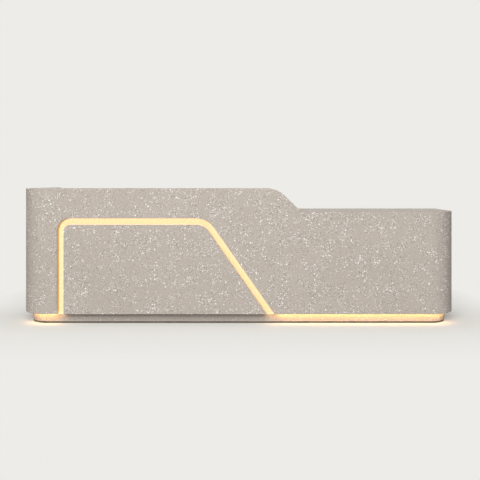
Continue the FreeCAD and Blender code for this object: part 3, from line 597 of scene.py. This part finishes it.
def strike_plates():
    """A flush steel plate with a rivet on the inside of each door, where its magnetic catch holds it."""
    low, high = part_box("door_catches")
    z = (low.z + high.z) / 2
    half, corner, rise = strike_size / 2, strike_size / 5, strike_height
    for body, x in (("left_door", low.x + catch_size / 2), ("right_door", high.x - catch_size / 2)):
        foot = Vector((x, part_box(body)[0].y, z))
        face = foot - rise * staff
        strike = Fitting()
        strike.loft([plate(foot, half, half, corner), plate(face, half - rise, half - rise, corner)])
        strike.turned(face, -staff, [(0.0, 0.3 * half), (0.3 * rise, 0.2 * half)])
        strike.place(body + "_strike", body, "hinge_steel")


def shelf_sleeves():
    """Rows of sleeves above and below the shelf pins, for other shelf heights."""
    low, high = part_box("shelf_pins")
    left, right = low.x + pin_half_length, high.x - pin_half_length
    middle, half_board = (left + right) / 2, upright_board / 2
    z = (low.z + high.z) / 2
    steps = [step for step in range(-sleeve_rows, sleeve_rows + 1) if step]
    profile = [
        (0.0, sleeve_radius),
        (sleeve_rim, 0.95 * sleeve_radius),
        (sleeve_rim, pin_radius),
        (sleeve_floor, pin_radius),
    ]
    sleeves = Fitting()
    sides = ((left, east), (middle - half_board, -east), (middle + half_board, east), (right, -east))
    for x, axis in sides:
        for y in (low.y + pin_radius, high.y - pin_radius):
            for step in steps:
                sleeves.turned(Vector((x, y, z + step * sleeve_pitch)), axis, profile)
    sleeves.place("shelf_sleeves", "desk", "zinc")


def driver_ribs(middle):
    """Cooling ribs over half of the light driver's face."""
    half_width, half_length, crest = rib_pitch / 4, rib_length / 2, rib_height / 4
    ribs = Fitting()
    for i in range(rib_count):
        foot = middle + i * rib_pitch * east
        ribs.loft([
            plate(foot, half_width, half_length, half_width / 2),
            plate(foot + (rib_height - crest) * staff, half_width, half_length, half_width / 2),
            plate(foot + rib_height * staff, half_width - crest, half_length - crest, half_width / 3),
        ])
    ribs.place("driver_ribs", "desk", "driver_case")


def switch_bezel(face, z):
    """A frame round the light driver's switch, clear of its rocker and without covering its pins."""
    low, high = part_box("switch_rocker")
    foot = Vector(((low.x + high.x) / 2, face, z))
    width = (high.x - low.x) / 2 - bezel_inside_pins
    height = (high.z - low.z) / 2 + bezel_clearance
    border, rise = bezel_border, bezel_height
    bezel = Fitting()
    bezel.loft([
        plate(foot, width + border, height + border, border / 2),
        plate(foot + 0.6 * rise * staff, width + border, height + border, border / 2),
        plate(foot + rise * staff, width + 0.7 * border, height + 0.7 * border, border / 3),
        plate(foot + rise * staff, width, height, border / 6),
        plate(foot, width, height, border / 6),
    ], tube=True)
    bezel.place("switch_bezel", "desk", "black_plastic")


def driver_details():
    """Ribs and corner screws on the light driver, a frame round its switch and a nut on its gland."""
    low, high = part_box("led_driver")
    left = high.x - driver_length
    z = (low.z + high.z) / 2
    driver_ribs(Vector(((left + high.x) / 2, high.y, z)))
    switch_bezel(high.y, z)
    screws = Fitting()
    inset = driver_screw_inset
    for x in (left + inset, high.x - inset):
        for screw_z in (low.z + inset, high.z - inset):
            screws.screw(Vector((x, high.y, screw_z)), staff)
    screws.place("driver_screws", "desk", "zinc")
    nut = Fitting()
    nut.turned(Vector((left, (low.y + high.y) / 2, z)), -east, [
        (0.0, nut_radius, True),
        (0.85 * nut_length, nut_radius, True),
        (nut_length, 0.86 * nut_radius),
        (nut_length, gland_radius),
        (0.0, gland_radius),
    ], tube=True)
    nut.place("gland_nut", "desk", "black_plastic")


def drawer_lock():
    """A cam lock in the top drawer's front."""
    low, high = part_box("top_drawer_front")
    foot = Vector(((low.x + high.x) / 2, high.y, high.z - lock_drop))
    r, h = lock_radius, lock_height
    barrel = Fitting()
    barrel.turned(foot, staff, [(0.0, r), (0.6 * h, r), (h, 0.88 * r), (h, 0.70 * r), (0.7 * h, 0.66 * r)])
    barrel.place("drawer_lock", "top_drawer", "zinc")
    face = foot + 0.7 * h * staff
    keyway = Fitting()
    keyway.loft([
        plate(face, 0.09 * r, 0.40 * r, 0.05 * r),
        plate(face + 0.05 * h * staff, 0.07 * r, 0.38 * r, 0.05 * r),
    ])
    keyway.place("lock_keyway", "top_drawer", "black_plastic")


dress_nodes()
drawers = ("top_drawer", "middle_drawer", "bottom_drawer")
soften(front_edge, *(drawer + "_front" for drawer in drawers), "left_door", "right_door")
soften(board_edge, "work_surface", "cabinet_shelves")
soften(thin_edge, *(drawer + "_box" for drawer in drawers), "worktop_beam", "ledge_brackets")
soften(lining_edge, "door_catches", "worktop_supports", "wing_lining")
hinge_screws()
strike_plates()
shelf_sleeves()
driver_details()
drawer_lock()


# Floor, light and camera


def floor_material():
    """A pale floor that takes the desk's shadow and glow, with painted shade where the backdrop's share dips
    near the desk, and runs out into the backdrop's colour.
    """
    material = bpy.data.materials.new("studio_floor")
    material.use_nodes = True
    material.node_tree.nodes.clear()
    floor = Shading(material.node_tree)
    seen = floor.seen_directly()
    matt = floor.node("ShaderNodeBsdfDiffuse", {"Color": floor.mix(seen, floor_bounce, floor_albedo)})
    plain = floor.node("ShaderNodeEmission", {"Color": backdrop_colour})
    place = floor.node("ShaderNodeTexCoord").outputs["Object"]
    first, last = floor_fade_along[0][0], floor_fade_along[-1][0]
    stops = [((y - first) / (last - first), (share, share, share, 1)) for y, share in floor_fade_along]
    # painted shade: a lower share of the backdrop near the desk darkens the floor there
    along = floor.ramp(floor.remap(floor.parts(place)["Y"], first, last, shape="LINEAR"), *stops)
    beside = floor.math("SUBTRACT", floor.math("ABSOLUTE", floor.parts(place)["X"]), cad_box[1].x)
    fade = floor.math("MULTIPLY_ADD", floor.math("MAXIMUM", beside, 0.0), floor_fade_sideways, along)
    floor.show("ShaderNodeOutputMaterial", floor.math("MULTIPLY", fade, seen), matt, plain)
    return material


def make_floor():
    mesh = bpy.data.meshes.new("studio_floor")
    reach = floor_reach
    corners = [(-reach, -reach, 0), (reach, -reach, 0), (reach, reach, 0), (-reach, reach, 0)]
    mesh.from_pydata(corners, [], [(0, 1, 2, 3)])
    mesh.materials.append(floor_material())
    floor = bpy.data.objects.new("studio_floor", mesh)
    bpy.context.scene.collection.objects.link(floor)


def make_world():
    """A soft dome that lights the desk, and a plain backdrop where it is seen directly."""
    world = bpy.data.worlds.new("studio")
    world.use_nodes = True
    world.node_tree.nodes.clear()
    bpy.context.scene.world = world
    sky = Shading(world.node_tree)
    towards = sky.node("ShaderNodeTexCoord").outputs["Generated"]
    side, back, rise = sky.parts(towards)
    aside = sky.math("ABSOLUTE", side)
    mirrored = sky.node("ShaderNodeCombineXYZ", {"X": aside, "Y": back, "Z": rise}).outputs[0]
    behind = sky.vector_math("DOT_PRODUCT", mirrored, dome_back_towards)["Value"]
    behind = sky.math("POWER", sky.math("MAXIMUM", behind, 0.0), dome_back_falloff)
    level = sky.math("MULTIPLY_ADD", behind, dome_back_level, dome_level)
    dome = sky.node("ShaderNodeBackground", {"Color": (1, 1, 1, 1), "Strength": level})
    backdrop = sky.node("ShaderNodeBackground", {"Color": backdrop_colour})
    sky.show("ShaderNodeOutputWorld", sky.seen_directly(), dome, backdrop)


def make_key_lamp():
    """A wide, soft lamp far away. Its level is the brightness it gives to a white surface that faces it."""
    lamp = bpy.data.lights.new("key_lamp", "SUN")
    lamp.energy = key_level * math.pi
    lamp.angle = key_angle
    holder = bpy.data.objects.new("key_lamp", lamp)
    holder.rotation_mode = "QUATERNION"
    holder.rotation_quaternion = Vector(key_towards).to_track_quat("Z", "Y")
    bpy.context.scene.collection.objects.link(holder)


def make_panel_lamp():
    """A wide panel of light, not seen itself. Its level is what it gives to a white target that faces it."""
    aim = Vector(panel_target) - Vector(panel_place)
    lamp = bpy.data.lights.new("panel_lamp", "AREA")
    lamp.shape = "RECTANGLE"
    lamp.size = panel_width
    lamp.size_y = panel_height
    lamp.energy = panel_level * math.pi ** 2 * aim.length_squared
    holder = bpy.data.objects.new("panel_lamp", lamp)
    holder.location = panel_place
    holder.rotation_mode = "QUATERNION"
    holder.rotation_quaternion = aim.to_track_quat("-Z", "Y")
    holder.visible_camera = False
    holder.visible_glossy = False
    bpy.context.scene.collection.objects.link(holder)


def make_camera():
    data = bpy.data.cameras.new("photo_camera")
    data.sensor_width = sensor_width
    data.lens = px_per_metre * camera_distance / frame_px * sensor_width
    data.shift_x = (frame_px / 2 - vanishing_x_px) / frame_px
    data.shift_y = (horizon_y_px - frame_px / 2) / frame_px
    data.clip_end = 2 * floor_reach
    camera = bpy.data.objects.new("photo_camera", data)
    eye_height = (floor_line_y_px - horizon_y_px) / px_per_metre
    camera.location = (0, cad_box[0].y - camera_distance, eye_height)
    camera.rotation_euler = (math.radians(90), 0, 0)
    bpy.context.scene.collection.objects.link(camera)
    bpy.context.scene.camera = camera


make_floor()
make_world()
make_key_lamp()
make_panel_lamp()
make_camera()
bpy.context.scene.view_settings.view_transform = "Standard"
